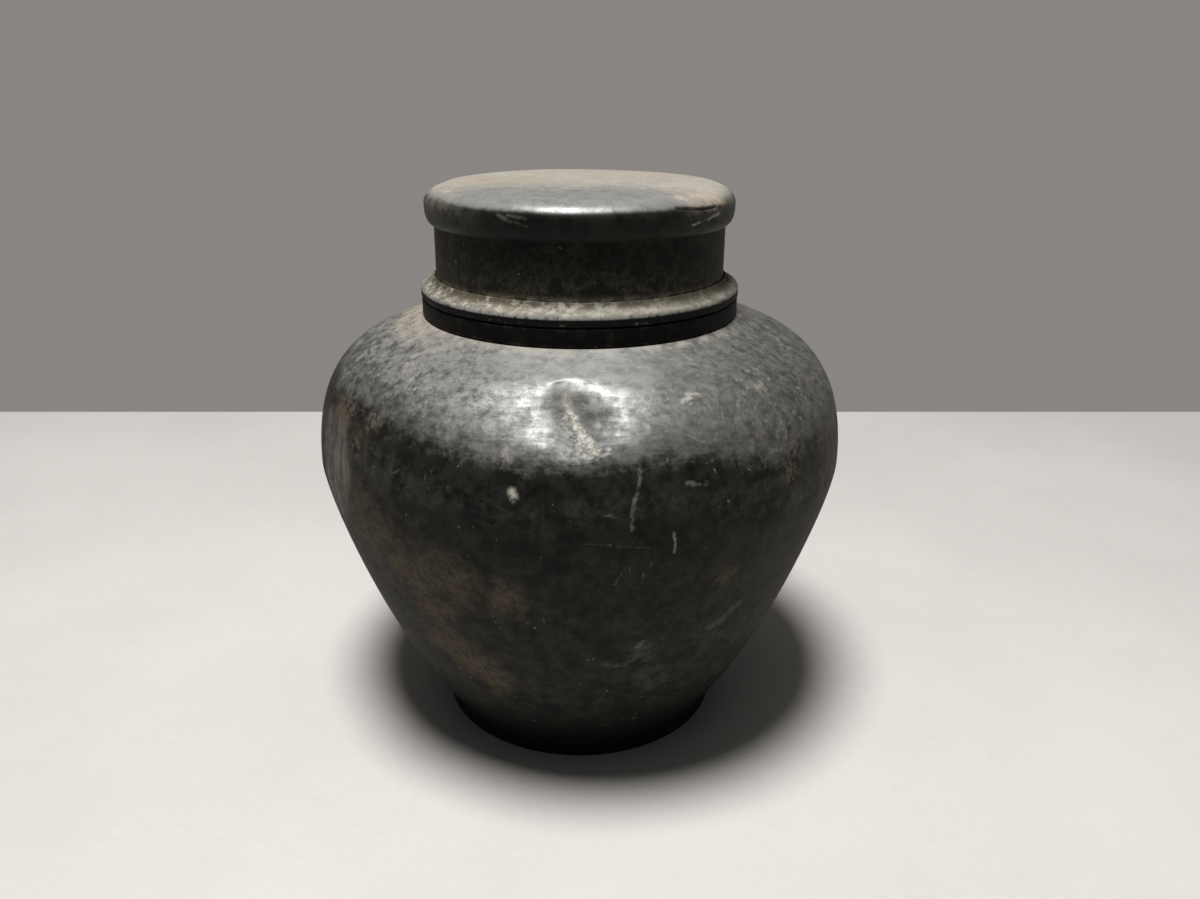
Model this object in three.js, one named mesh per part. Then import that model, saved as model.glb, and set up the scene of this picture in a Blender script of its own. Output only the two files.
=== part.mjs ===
// Tin tea caddy: a wide-shouldered jar on a foot ring, with an inner stopper under an outer cap.
// The jar, the stopper and the cap are each soldered together from turned tin sheet.
// Millimetres, +Z up. The origin is on the axis, in the plane that the foot ring stands on.
import * as THREE from "three";

// Fits
const solderGap = 0.3; // film of solder between two pieces that are fixed to each other
const seatGap = 0.3; // air between a lifting piece and the face that it rests on
const slideGap = 0.3; // radial play of the cap on the neck and of the stopper in it
const solderLeg = 1.6; // leg of the fillet run into each inside corner
const facets = 60; // flats around the axis
const knobFacets = 24;
const curveSteps = 4; // straight pieces in each small rounding

// Jar
const jarSheet = 1.6;
const footRadius = 40.3;
const footHeight = 5;
const footWall = 2;
const baseSheet = 1.6;
const lowerSlope = 51; // degrees above the horizontal where the lower shell leaves the foot
const lowerReach = 29.7; // how far the lower shell runs on nearly straight
const bellyRadius = 72.5;
const lowerHeight = 75.3; // from the foot ring up to the belly
const bellyTuck = 6.6; // how sharply the lower shell turns upright at the belly
const bellyLap = 4; // the lower shell's rim, set inwards, stands this far up inside the upper shell
const shoulderRise = 32.6; // how far the upper shell climbs before it turns over
const upperHeight = 38.1; // from the belly up to the collar
const shoulderSlope = 25; // degrees below the horizontal where the shoulder leaves the collar
const shoulderReach = 12.7;
const collarStep = 5.6; // ledge round the neck
const collarHeight = 4.8;
const collarWall = 1.6;
const neckRadius = 37.1;
const neckWall = 1.6;
const neckHeight = 17.5; // from the collar's ledge to the rim
const neckTail = 2.5; // end of the neck below the shoulder, for the solder

// Stopper
const plateSheet = 1.4;
const skirtWall = 1.4;
const skirtDepth = 10;
const knobRadius = 6;
const knobHeight = 7;
const knobFootRadius = 4.2;
const knobStemRadius = 2.8;
const pegRadius = 1.5;
const pegGap = 0.3;
const pegTail = 0.6; // end of the peg below the plate

// Cap
const capSheet = 1.4;
const capTopSheet = 1.6;
const capHeadroom = 1; // air over the stopper's knob
const capLap = 3.5; // the cap's wall stands this far up inside its rounded edge
const edgeBulge = 2; // how far the cap's rounded edge stands out from its wall
const edgeHeight = 10.4;
const edgeDrop = 5.1; // from the flat top down to the widest point
const edgeFoot = 0.7; // blunt lower rim of the rounded edge
const edgeRound = 6.6; // from the widest point in to the flat middle
const lipOverhang = 0.25; // past the collar
const lipFace = 1.9;
const lipHeight = 5.2;
const lipRound = 0.5;
const lipCrest = 0.4; // blunt upper rim of the lip

// Heights and radii that follow from the sizes above
const bellyHeight = footHeight + lowerHeight;
const shoulderHeight = bellyHeight + upperHeight;
const collarRadius = neckRadius + collarStep;
const lapRadius = bellyRadius - jarSheet - 2 * solderGap;
const lapTop = bellyHeight + bellyLap;
const mouthRadius = neckRadius + solderGap;
const shoulderUnder = shoulderHeight - jarSheet;
const collarTop = shoulderHeight + collarHeight;
const neckTop = collarTop + neckHeight;
const neckBore = neckRadius - neckWall;
const plateBottom = neckTop + seatGap;
const plateTop = plateBottom + plateSheet;
const skirtRadius = neckBore - slideGap;
const skirtTop = plateBottom - solderGap;
const knobBottom = plateTop + solderGap;
const knobTop = knobBottom + knobHeight;
const capBase = collarTop + seatGap;
const capBore = neckRadius + slideGap;
const capRadius = capBore + capSheet;
const capUnder = knobTop + capHeadroom;
const capTop = capUnder + capTopSheet;
const edgeBottom = capTop - edgeHeight;
const capWallTop = edgeBottom + capLap;
const sleeveRadius = capRadius + solderGap; // bore of the pieces soldered round the cap's wall
const sleeveTop = capWallTop + 2 * solderGap + solderLeg;
const edgeRadius = sleeveRadius + edgeBulge;
const flatRadius = edgeRadius - edgeRound;
const lipRadius = collarRadius + lipOverhang;

// Finishes
const patina = new THREE.MeshStandardMaterial({ color: 0x2b2c2a, roughness: 0.45, metalness: 0.8 });
const dustyPatina = new THREE.MeshStandardMaterial({ color: 0x4c4b46, roughness: 0.55, metalness: 0.7 });
const innerTin = new THREE.MeshStandardMaterial({ color: 0x6e6e69, roughness: 0.5, metalness: 0.9 });
const solderTin = new THREE.MeshStandardMaterial({ color: 0x85857f, roughness: 0.4, metalness: 0.9 });

const point = (radius, height) => new THREE.Vector2(radius, height);
const radians = (degrees) => THREE.MathUtils.degToRad(degrees);

// A solid of revolution about Z from an outline that runs up its outside and back down its inside.
function turned(name, outline, material, flats = facets) {
  const geometry = new THREE.LatheGeometry(outline, flats).rotateX(Math.PI / 2);
  const mesh = new THREE.Mesh(geometry, material);
  mesh.name = name;
  return mesh;
}

// A ring: the outline is closed back to its first corner.
function ring(name, corners, material) {
  return turned(name, [...corners, corners[0].clone()], material);
}

// A plain tube of rectangular section.
function tube(name, bore, radius, bottom, top, material) {
  const corners = [point(bore, bottom), point(radius, bottom), point(radius, top), point(bore, top)];
  return ring(name, corners, material);
}

// A fillet of solder in a corner. The legs run from the corner by solderLeg, outwards or up where positive.
function fillet(name, corner, outward, upward) {
  const corners = [
    corner,
    point(corner.x + outward * solderLeg, corner.y),
    point(corner.x, corner.y + upward * solderLeg),
  ];
  return ring(name, outward * upward > 0 ? corners : corners.reverse(), solderTin);
}

// Points along a sheet's outer face, and the same points moved inwards by the sheet's thickness.
function sheetFaces(curve, steps, thickness) {
  const outer = [];
  const inner = [];
  for (let step = 0; step <= steps; step++) {
    const place = curve.getPoint(step / steps);
    const along = curve.getTangent(step / steps);
    outer.push(place);
    inner.push(point(place.x - along.y * thickness, place.y + along.x * thickness));
  }
  return { outer, inner };
}

// Jar: a ring to stand on, a plate set up inside it, two shells lapped at the belly, and the neck.
function footRing() {
  return tube("foot_ring", footRadius - footWall, footRadius, 0, footHeight, patina);
}

function basePlate() {
  const radius = footRadius - footWall - solderGap;
  const bottom = footHeight - baseSheet;
  const outline = [point(0, bottom), point(radius, bottom), point(radius, footHeight), point(0, footHeight)];
  return turned("base_plate", outline, innerTin);
}

function baseSolder() {
  const corner = point(footRadius - footWall - solderGap, footHeight - baseSheet - solderGap);
  return fillet("base_solder", corner, -1, -1);
}

function lowerShell() {
  const steps = 9;
  const bottom = footHeight + solderGap;
  const slope = radians(lowerSlope);
  const curve = new THREE.CubicBezierCurve(
    point(footRadius, bottom),
    point(footRadius + lowerReach * Math.cos(slope), bottom + lowerReach * Math.sin(slope)),
    point(bellyRadius, bellyHeight - bellyTuck),
    point(bellyRadius, bellyHeight),
  );
  const { outer, inner } = sheetFaces(curve, steps, jarSheet);
  const joggleTop = bellyHeight - jarSheet;
  const joggleBottom = joggleTop - jarSheet - 2 * solderGap;
  const innerBelow = inner.slice(1).filter((place) => place.y < joggleBottom - jarSheet);
  return ring(
    "lower_shell",
    [
      ...outer,
      point(lapRadius, bellyHeight),
      point(lapRadius, lapTop),
      point(lapRadius - jarSheet, lapTop),
      point(lapRadius - jarSheet, joggleTop),
      point(bellyRadius - jarSheet, joggleBottom),
      ...innerBelow.reverse(),
      point(footRadius - jarSheet / Math.sin(slope), bottom),
    ],
    patina,
  );
}

function upperShell() {
  const steps = 10;
  const bottom = bellyHeight + solderGap;
  const slope = radians(shoulderSlope);
  const curve = new THREE.CubicBezierCurve(
    point(bellyRadius, bottom),
    point(bellyRadius, bottom + shoulderRise),
    point(collarRadius + shoulderReach * Math.cos(slope), shoulderHeight - shoulderReach * Math.sin(slope)),
    point(collarRadius, shoulderHeight),
  );
  const { outer, inner } = sheetFaces(curve, steps, jarSheet);
  return ring(
    "upper_shell",
    [
      ...outer,
      point(mouthRadius, shoulderHeight),
      point(mouthRadius, shoulderUnder),
      point(collarRadius - jarSheet * Math.tan(slope / 2), shoulderUnder),
      ...inner.slice(0, -1).reverse(),
    ],
    dustyPatina,
  );
}

function bellySolder() {
  return fillet("belly_solder", point(lapRadius, lapTop + solderGap), -1, 1);
}

function neckTube() {
  return tube("neck_tube", neckBore, neckRadius, shoulderUnder - neckTail, neckTop, innerTin);
}

function neckSolder() {
  return fillet("neck_solder", point(neckRadius + solderGap, shoulderUnder - solderGap), 1, -1);
}

// The band round the foot of the neck, folded in at the top as the ledge that the cap sits on.
function neckCollar() {
  const bottom = shoulderHeight + solderGap;
  return ring(
    "neck_collar",
    [
      point(collarRadius, bottom),
      point(collarRadius, collarTop),
      point(mouthRadius, collarTop),
      point(mouthRadius, collarTop - collarWall),
      point(collarRadius - collarWall, collarTop - collarWall),
      point(collarRadius - collarWall, bottom),
    ],
    patina,
  );
}

// Stopper: a plate on the neck's rim, a skirt down inside the neck and a knob pegged through the plate.
function stopperPlate() {
  const hole = pegRadius + pegGap;
  return tube("stopper_plate", hole, neckRadius, plateBottom, plateTop, innerTin);
}

function stopperSkirt() {
  const bottom = skirtTop - skirtDepth;
  return tube("stopper_skirt", skirtRadius - skirtWall, skirtRadius, bottom, skirtTop, innerTin);
}

function stopperSolder() {
  return fillet("stopper_solder", point(skirtRadius - skirtWall - solderGap, skirtTop), -1, -1);
}

function stopperKnob() {
  const headBottom = knobBottom + knobHeight / 2;
  const outline = new THREE.Path();
  outline.moveTo(0, plateBottom - pegTail);
  outline.lineTo(pegRadius, plateBottom - pegTail);
  outline.lineTo(pegRadius, knobBottom);
  outline.lineTo(knobFootRadius, knobBottom);
  outline.quadraticCurveTo(knobStemRadius, knobBottom, knobStemRadius, headBottom);
  outline.quadraticCurveTo(knobRadius, headBottom, knobRadius, (headBottom + knobTop) / 2);
  outline.quadraticCurveTo(knobRadius, knobTop, 0, knobTop);
  return turned("stopper_knob", outline.getPoints(curveSteps), innerTin, knobFacets);
}

// Cap: a wall that slides over the neck, a lip round its lower edge and a round-edged top.
function capWall() {
  return tube("cap_wall", capBore, capRadius, capBase, capWallTop, patina);
}

function capLip() {
  const faceTop = capBase + lipFace;
  const crestRadius = sleeveRadius + lipCrest;
  const crestTop = capBase + lipHeight;
  const outline = new THREE.Path();
  outline.moveTo(sleeveRadius, capBase);
  outline.lineTo(lipRadius - lipRound, capBase);
  outline.quadraticCurveTo(lipRadius, capBase, lipRadius, capBase + lipRound);
  outline.lineTo(lipRadius, faceTop);
  outline.quadraticCurveTo(lipRadius, faceTop + lipRound, lipRadius - 2 * lipRound, faceTop + 2 * lipRound);
  outline.quadraticCurveTo(crestRadius, faceTop + 3 * lipRound, crestRadius, crestTop);
  outline.lineTo(sleeveRadius, crestTop);
  outline.closePath();
  return turned("cap_lip", outline.getPoints(curveSteps), dustyPatina);
}

function capTopDisc() {
  const widest = capTop - edgeDrop;
  const outline = new THREE.Path();
  outline.moveTo(0, capUnder);
  outline.lineTo(flatRadius, capUnder);
  outline.quadraticCurveTo(sleeveRadius, capUnder, sleeveRadius, sleeveTop);
  outline.lineTo(sleeveRadius, edgeBottom);
  outline.lineTo(sleeveRadius + edgeFoot, edgeBottom);
  outline.quadraticCurveTo(edgeRadius, (edgeBottom + widest) / 2, edgeRadius, widest);
  outline.quadraticCurveTo(edgeRadius, capTop, flatRadius, capTop);
  outline.lineTo(0, capTop);
  return turned("cap_top", outline.getPoints(curveSteps), dustyPatina);
}

function capSolder() {
  return fillet("cap_solder", point(capRadius, capWallTop + solderGap), -1, 1);
}

const jar = new THREE.Group();
jar.add(footRing(), basePlate(), baseSolder(), lowerShell(), bellySolder(), upperShell());
jar.add(neckTube(), neckSolder(), neckCollar());

const stopper = new THREE.Group();
stopper.add(stopperPlate(), stopperSkirt(), stopperSolder(), stopperKnob());

const cap = new THREE.Group();
cap.add(capWall(), capLip(), capTopDisc(), capSolder());

const caddy = new THREE.Group();
caddy.add(jar, stopper, cap);

export default caddy;
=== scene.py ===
import math
import random
from functools import reduce

import bmesh
import bpy
from mathutils import Matrix, Vector, noise
from mathutils.geometry import interpolate_bezier, intersect_point_line


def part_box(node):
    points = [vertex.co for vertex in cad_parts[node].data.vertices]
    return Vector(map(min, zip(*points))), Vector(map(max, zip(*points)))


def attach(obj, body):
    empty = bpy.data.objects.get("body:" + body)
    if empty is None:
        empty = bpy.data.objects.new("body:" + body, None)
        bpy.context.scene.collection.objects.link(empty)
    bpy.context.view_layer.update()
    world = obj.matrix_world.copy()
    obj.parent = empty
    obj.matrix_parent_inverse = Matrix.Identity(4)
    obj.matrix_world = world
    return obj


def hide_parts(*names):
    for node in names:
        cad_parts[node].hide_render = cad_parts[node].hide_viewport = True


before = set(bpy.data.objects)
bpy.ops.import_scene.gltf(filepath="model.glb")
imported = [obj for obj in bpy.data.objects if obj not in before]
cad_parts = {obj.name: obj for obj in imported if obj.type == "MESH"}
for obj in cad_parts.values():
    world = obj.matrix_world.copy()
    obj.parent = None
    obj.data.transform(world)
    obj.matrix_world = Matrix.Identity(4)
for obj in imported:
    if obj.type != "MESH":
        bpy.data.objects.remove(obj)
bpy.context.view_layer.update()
mm = 0.001


# camera, where the photograph was taken from
photoView = {"back": 271.1, "height": 181.6, "pitch": 21.17, "lens": 30.0, "sensor": 36.0, "clip": 10.0,
             "frameWidth": 1200, "axisPixel": 579.6}


def makeCamera(view):
    data = bpy.data.cameras.new("photoCamera")
    data.lens = view["lens"]
    data.sensor_width = view["sensor"]
    data.clip_start = view["clip"] * mm
    data.shift_x = 0.5 - view["axisPixel"] / view["frameWidth"]  # the jar stands a little left of the middle
    camera = bpy.data.objects.new("photoCamera", data)
    camera.location = (0, -view["back"] * mm, view["height"] * mm)
    camera.rotation_euler = (math.radians(90 - view["pitch"]), 0, 0)
    bpy.context.collection.objects.link(camera)
    bpy.context.scene.camera = camera


makeCamera(photoView)
bpy.context.scene.view_settings.view_transform = "Standard"


# shader maths: a socket that can be added, multiplied and used as a mask
class Field:
    def __init__(self, socket):
        self.socket = socket

    def node(self, kind, settings, inputs, output=0):
        tree = self.socket.id_data
        made = tree.nodes.new(kind)
        for key, value in settings.items():
            setattr(made, key, value)
        for key, value in inputs.items():
            entry = Field.pick(made.inputs, key)
            if isinstance(value, Field):
                tree.links.new(value.socket, entry)
            else:
                entry.default_value = value
        return Field(Field.pick(made.outputs, output)) if made.outputs else None

    @staticmethod
    def pick(sockets, key):
        if isinstance(key, int):
            return sockets[key]
        return next(s for s in sockets if key in (s.identifier, s.name))

    def calc(self, operation, *others):
        return self.node("ShaderNodeMath", {"operation": operation}, dict(enumerate((self, *others))))

    def __add__(self, other):
        return self.calc("ADD", other)

    __radd__ = __add__

    def __sub__(self, other):
        return self.calc("SUBTRACT", other)

    def __rsub__(self, other):
        return self.node("ShaderNodeMath", {"operation": "SUBTRACT"}, {0: other, 1: self})

    def __mul__(self, other):
        return self.calc("MULTIPLY", other)

    __rmul__ = __mul__

    def most(self, other):
        return self.calc("MAXIMUM", other)

    def least(self, other):
        return self.calc("MINIMUM", other)

    def rise(self, low, high):  # 0 up to low, 1 from high on; with low above high it falls instead
        if low > high:
            return 1 - self.rise(high, low)
        return self.node("ShaderNodeMapRange", {"interpolation_type": "SMOOTHSTEP"},
                         {"Value": self, "From Min": low, "From Max": high})

    def near(self, middle, width):  # 1 at the middle, 0 a width away from it
        return (self - middle).calc("ABSOLUTE").rise(width, 0)

    def sway(self, amount):  # noise round a half, made a shift to either side
        return (self - 0.5) * amount

    def atLeast(self, low):  # a mask that never falls below low
        return low + (1 - low) * self

    def vector(self, operation, other, output=0):
        return self.node("ShaderNodeVectorMath", {"operation": operation}, {0: self, 1: other}, output)

    def axes(self):
        split = self.node("ShaderNodeSeparateXYZ", {}, {0: self})
        return [Field(socket) for socket in split.socket.node.outputs]

    def noise(self, scale, detail=3.0, rough=0.5, warp=0.0, output=0):
        return self.node("ShaderNodeTexNoise", {}, {"Vector": self, "Scale": scale, "Detail": detail,
                                                    "Roughness": rough, "Distortion": warp}, output)

    def drawnOut(self, scales, detail, rough, warp=0.0):  # noise with its own scale along each axis
        return self.vector("MULTIPLY", scales).noise(1.0, detail, rough, warp)

    def ragged(self, scale, shift):  # the same place, pushed about by noise
        push = self.noise(scale, 3.0, 0.6, 0.0, "Color").vector("SUBTRACT", (0.5, 0.5, 0.5))
        return push.vector("MULTIPLY", (shift, shift, shift)).vector("ADD", self)

    def over(self, under, colour):  # this mask lays the colour over what is under it
        return self.node("ShaderNodeMix", {"data_type": "RGBA"},
                         {"Factor_Float": self, "A_Color": under, "B_Color": colour}, "Result_Color")


def tone(red, green, blue):
    return red, green, blue, 1.0


def startFinish(name):
    material = bpy.data.materials.new(name)
    material.use_nodes = True
    material.node_tree.nodes.clear()
    return material, Field(material.node_tree.nodes.new("ShaderNodeTexCoord").outputs["Object"])


def closeFinish(place, specular, colour, rough, metal, height):  # height is in millimetres
    normal = place.node("ShaderNodeBump", {}, {"Strength": 1.0, "Distance": mm, "Height": height}, "Normal")
    shader = place.node("ShaderNodeBsdfPrincipled", {},
                        {"Base Color": colour, "Roughness": rough, "Metallic": metal,
                         "Specular IOR Level": specular, "Normal": normal}, "BSDF")
    place.node("ShaderNodeOutputMaterial", {}, {"Surface": shader})


# floor, room tone and lamps
stage = {"backEdge": 256.0, "frontEdge": 420.0, "halfWidth": 900.0, "floorTone": (0.78, 0.745, 0.705),
         "floorShade": 0.93, "roomTone": (0.25, 0.236, 0.226), "roomLight": (0.035, 0.034, 0.033)}
lamps = {
    "overhead": {"place": (-85, -215, 1060), "aim": (0, 0, 90), "size": 320, "watts": 12.4},
    "ceiling": {"place": (0, -250, 1300), "aim": (0, 0, 60), "size": 1100, "watts": 0.8},
}


def floorFinish():
    material, place = startFinish("paleFloor")
    cloud = place.noise(9.0, 5.0, 0.6)
    fleck = place.noise(420.0, 3.0, 0.6)
    shaded = tone(*(c * stage["floorShade"] for c in stage["floorTone"]))
    colour = (cloud * 0.7 + fleck * 0.3).rise(0.35, 0.65).over(shaded, tone(*stage["floorTone"]))
    closeFinish(place, 0.3, colour, 0.45 + cloud * 0.2, 0.0, fleck * 0.03)
    return material


def makeFloor():
    bm = bmesh.new()
    bmesh.ops.create_grid(bm, x_segments=1, y_segments=1, size=0.5)
    depth = stage["backEdge"] + stage["frontEdge"]
    bmesh.ops.scale(bm, vec=(2 * stage["halfWidth"] * mm, depth * mm, 1), verts=bm.verts)
    bmesh.ops.translate(bm, vec=(0, (stage["backEdge"] - stage["frontEdge"]) / 2 * mm, 0), verts=bm.verts)
    mesh = bpy.data.meshes.new("floor")
    bm.to_mesh(mesh)
    bm.free()
    mesh.materials.append(floorFinish())
    floor = bpy.data.objects.new("floor", mesh)
    bpy.context.collection.objects.link(floor)


def makeLamps():
    world = bpy.data.worlds.new("room")
    world.use_nodes = True
    path = world.node_tree.nodes.new("ShaderNodeLightPath").outputs
    seen = Field(path["Is Camera Ray"])
    for ray in ("Is Glossy Ray", "Is Transmission Ray"):
        seen = seen.most(Field(path[ray]))
    colour = seen.over(tone(*stage["roomLight"]), tone(*stage["roomTone"]))
    world.node_tree.links.new(colour.socket, world.node_tree.nodes["Background"].inputs["Color"])
    bpy.context.scene.world = world
    for name, lamp in lamps.items():
        place, aim = Vector(lamp["place"]), Vector(lamp["aim"])
        data = bpy.data.lights.new(name, "AREA")
        data.shape = "DISK"
        data.size = lamp["size"] * mm
        data.energy = lamp["watts"]
        light = bpy.data.objects.new(name, data)
        light.location = place * mm
        light.rotation_euler = (aim - place).to_track_quat("-Z", "Y").to_euler()
        bpy.context.collection.objects.link(light)


makeFloor()
makeLamps()
print("stage set: floor, room tone and", len(lamps), "lamps")


# outlines are (radius, height) points in millimetres, turned about the upright axis
def reach(node):
    low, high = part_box(node)
    return high.x / mm, low.z / mm, high.z / mm


def curve(start, startHandle, endHandle, end, count):
    points = interpolate_bezier(*(Vector((*p, 0)) for p in (start, startHandle, endHandle, end)), count)
    return [(p.x, p.y) for p in points]


def offAt(point, degrees, length):  # the point that far away, at an angle above level
    turn = math.radians(degrees)
    return point[0] + length * math.cos(turn), point[1] + length * math.sin(turn)


def shifted(point, by):
    return point[0] + by[0], point[1] + by[1]


def turned(outline, steps, closed=True):
    bm = bmesh.new()
    verts = [bm.verts.new((radius * mm, 0, height * mm)) for radius, height in outline]
    edges = [bm.edges.new(pair) for pair in zip(verts, verts[1:])]
    if closed:
        edges.append(bm.edges.new((verts[-1], verts[0])))
    bmesh.ops.spin(bm, geom=verts + edges, axis=(0, 0, 1), cent=(0, 0, 0), angle=math.pi / 4,
                   steps=steps // 8)
    for turn in (45, 90, 180):  # an eighth is spun, then doubled three times: a full spin is slow
        copies = bmesh.ops.duplicate(bm, geom=bm.verts[:] + bm.edges[:] + bm.faces[:])["geom"]
        bmesh.ops.rotate(bm, cent=(0, 0, 0), matrix=Matrix.Rotation(math.radians(turn), 3, "Z"),
                         verts=[v for v in copies if isinstance(v, bmesh.types.BMVert)])
    bmesh.ops.remove_doubles(bm, verts=bm.verts, dist=1e-6)
    bmesh.ops.recalc_face_normals(bm, faces=bm.faces)
    return bm


def middle(edge):
    return (edge.verts[0].co + edge.verts[1].co) / (2 * mm)


def outward(point):  # level, away from the axis
    return Vector((point.x, point.y, 0)).normalized()


def softenRims(bm, width, angle=35):
    rims = [e for e in bm.edges if e.is_manifold and e.calc_face_angle() > math.radians(angle)]
    bmesh.ops.bevel(bm, geom=rims, offset=width * mm, affect="EDGES", segments=3, profile=0.5, material=-1)
    return bm


def unsettle(bm, cycles, height):  # hand-made waver, inwards only so that nothing grows
    for vert in bm.verts:
        point = vert.co / mm
        vert.co += outward(point) * height * mm * (noise.noise(point * cycles) - 1) / 2
    return bm


def makePiece(node, bm, finishes, body):
    mesh = bpy.data.meshes.new(node + "_look")
    for face in bm.faces:
        face.smooth = True
    bm.to_mesh(mesh)
    bm.free()
    mesh.set_sharp_from_angle(angle=math.radians(40))
    for finish in finishes:
        mesh.materials.append(finish)
    piece = bpy.data.objects.new(node + "_look", mesh)
    bpy.context.collection.objects.link(piece)
    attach(piece, body)
    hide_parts(node)
    print("made", piece.name, "with", len(mesh.polygons), "faces")


# the jar's outline, taken from the frame
footRadius, _, footTop = reach("foot_ring")
bellyRadius, seamHeight, shoulderTop = reach("upper_shell")
collarRadius, collarBottom, collarTop = reach("neck_collar")
neckRadius = reach("neck_tube")[0]
jarShell = {"sheet": 1.6, "play": 0.3, "turns": 400, "lowerRows": 64, "upperRows": 84, "ledgeRows": 4,
            "footSlope": 51.0, "footReach": 29.7, "bellyTuck": 6.6, "shoulderRise": 32.6,
            "shoulderSlope": 25.0, "shoulderReach": 12.7, "lapTop": 84.3, "lapStep": 2.2,
            "trueAtFoot": 12.0, "trueAtCollar": 3.0}


def lowerLine(shell):
    foot, belly = (footRadius, footTop), (bellyRadius, seamHeight)
    return curve(foot, offAt(foot, shell["footSlope"], shell["footReach"]),
                 (bellyRadius, seamHeight - shell["bellyTuck"]), belly, shell["lowerRows"])


def upperLine(shell):
    belly, collar = (bellyRadius, seamHeight), (collarRadius, shoulderTop)
    return curve(belly, (bellyRadius, seamHeight + shell["shoulderRise"]),
                 offAt(collar, -shell["shoulderSlope"], shell["shoulderReach"]), collar, shell["upperRows"])


# a point of the surface, and which way is out there; azimuth 0 faces the camera
def placeOn(line, azimuth, height):
    turn = math.radians(azimuth)
    for (r0, z0), (r1, z1) in zip(line, line[1:]):
        if min(z0, z1) <= height <= max(z0, z1) and z0 != z1:
            radius = r0 + (r1 - r0) * (height - z0) / (z1 - z0)
            climb = Vector((r1 - r0, z1 - z0)).normalized() * math.copysign(1, z1 - z0)
            ahead = Vector((math.sin(turn), -math.cos(turn), 0))
            return ahead * radius + Vector((0, 0, height)), ahead * climb.y - Vector((0, 0, climb.x))
    raise ValueError("no surface at height %s" % height)


def between(start, end, share):  # part of the way between two places
    return [a + (b - a) * share for a, b in zip(start, end)]


bodyLine = lowerLine(jarShell) + upperLine(jarShell)[1:]


# knocks that the jar has taken: degrees round it, and millimetres
creaseDent = {
    "top": (-4.8, 115.0), "bottom": (3.1, 103.0), "depth": 2.8, "valley": 0.7, "taper": 0.92,
    "rightFlank": 12.0, "rightCurve": 1.5, "leftFlank": 12.6, "leftCurve": 2.8, "flankEnds": -3.0,
    "soft": 0.25, "softest": 1.5, "ragged": 0.18, "raggedCycles": 0.14, "settles": 0.15, "fineWithin": 22.0,
    "fieldAt": (-6.5, 108.0), "fieldLong": 20.0, "fieldShort": 7.6, "fieldRoll": -1.0, "fieldDepth": 1.35,
    "fieldEdge": 2.0, "fieldWaver": [(0.1, 0.2), (0.35, 0.05)]}
sideFacet = {"azimuth": -62.0, "halfTurn": 11.0, "middle": 87.5, "up": 14.0, "down": 18.0, "soft": 0.05}
sags = [((70, 114.5), 17, 0.9), ((31, 100), 9, 0.3), ((-28, 66), 15, 0.5),  # place, spread and depth
        ((48, 62), 13, 0.45), ((150, 98), 12, 0.8), ((-140, 72), 16, 0.7)]
dings = {"count": 46, "seed": 11, "spread": (2.0, 5.5), "depth": (0.06, 0.22), "heights": (12.0, 116.0)}
waver = [(0.03, 0.24), (0.11, 0.06)]  # cycles in a millimetre, and how deep
innerFaces = {"inwards": -0.2, "down": -0.95}  # how a face has to point to count as the inside


def bowlsOn(line, bowls):
    return [(*placeOn(line, *at), spread, depth) for at, spread, depth in bowls]


def pushedIn(point, bowls):  # how far the round hollows move a point
    move = Vector((0, 0, 0))
    for centre, out, spread, depth in bowls:
        share = (point - centre).length / (2 * spread)
        if share < 1:
            move -= out * depth * (1 - share ** 2) ** 3
    return move


def allBowls():
    draw = random.Random(dings["seed"])
    small = [((draw.uniform(-180, 180), draw.uniform(*dings["heights"])), draw.uniform(*dings["spread"]),
              draw.uniform(*dings["depth"])) for _ in range(dings["count"])]
    return bowlsOn(bodyLine, sags + small)


def creaseAxes(dent):
    top, bottom = placeOn(bodyLine, *dent["top"])[0], placeOn(bodyLine, *dent["bottom"])[0]
    centre, out = placeOn(bodyLine, *between(dent["top"], dent["bottom"], 0.5))
    run = (bottom - top) - out * (bottom - top).dot(out)
    return centre, out, run.normalized(), run.normalized().cross(out), run.length / 2


def creaseDepth(point, dent, axes):  # a sharp valley whose right flank is a half round
    centre, _, run, across, half = axes
    away = point - centre
    along, aside = away.dot(run) / half, away.dot(across)
    if abs(along) >= 1 or away.length > 2 * half:
        return 0.0
    flank = "right" if across.x * aside > 0 else "left"
    bow = math.sqrt(1 - along ** 2)
    wide = dent[flank + "Flank"] * bow * (1 + dent["ragged"] * noise.noise(point * dent["raggedCycles"]))
    left = 1 - (math.hypot(aside, dent["valley"]) - dent["valley"]) / wide
    if left < dent["flankEnds"]:
        return 0.0
    blur = min(dent["softest"], dent["soft"] / bow)  # the rim is as soft at the ends as in the middle
    hollow = ((left + math.hypot(left, blur)) / 2) ** dent[flank + "Curve"]
    return dent["depth"] * (1 - along ** 2) ** dent["taper"] * hollow


def fieldAxes(dent):
    centre, out = placeOn(bodyLine, *dent["fieldAt"])
    level = Vector((-out.y, out.x, 0)).normalized()
    roll = Matrix.Rotation(math.radians(-dent["fieldRoll"]), 3, out)
    return centre, roll @ level / dent["fieldLong"], roll @ out.cross(level) / dent["fieldShort"]


def fieldDepth(point, dent, axes):  # the flattened field that the crease lies in
    centre, along, across = axes
    away = point - centre
    if away.length > 3 * dent["fieldLong"]:
        return 0.0
    proud = dent["fieldDepth"] * (1 - away.dot(along) ** 2 - away.dot(across) ** 2)
    proud += sum(height * noise.noise(point * cycles) for cycles, height in dent["fieldWaver"])
    edge = dent["fieldEdge"]
    return proud if proud > edge else max(0.0, proud + edge) ** 2 / (4 * edge)


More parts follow.
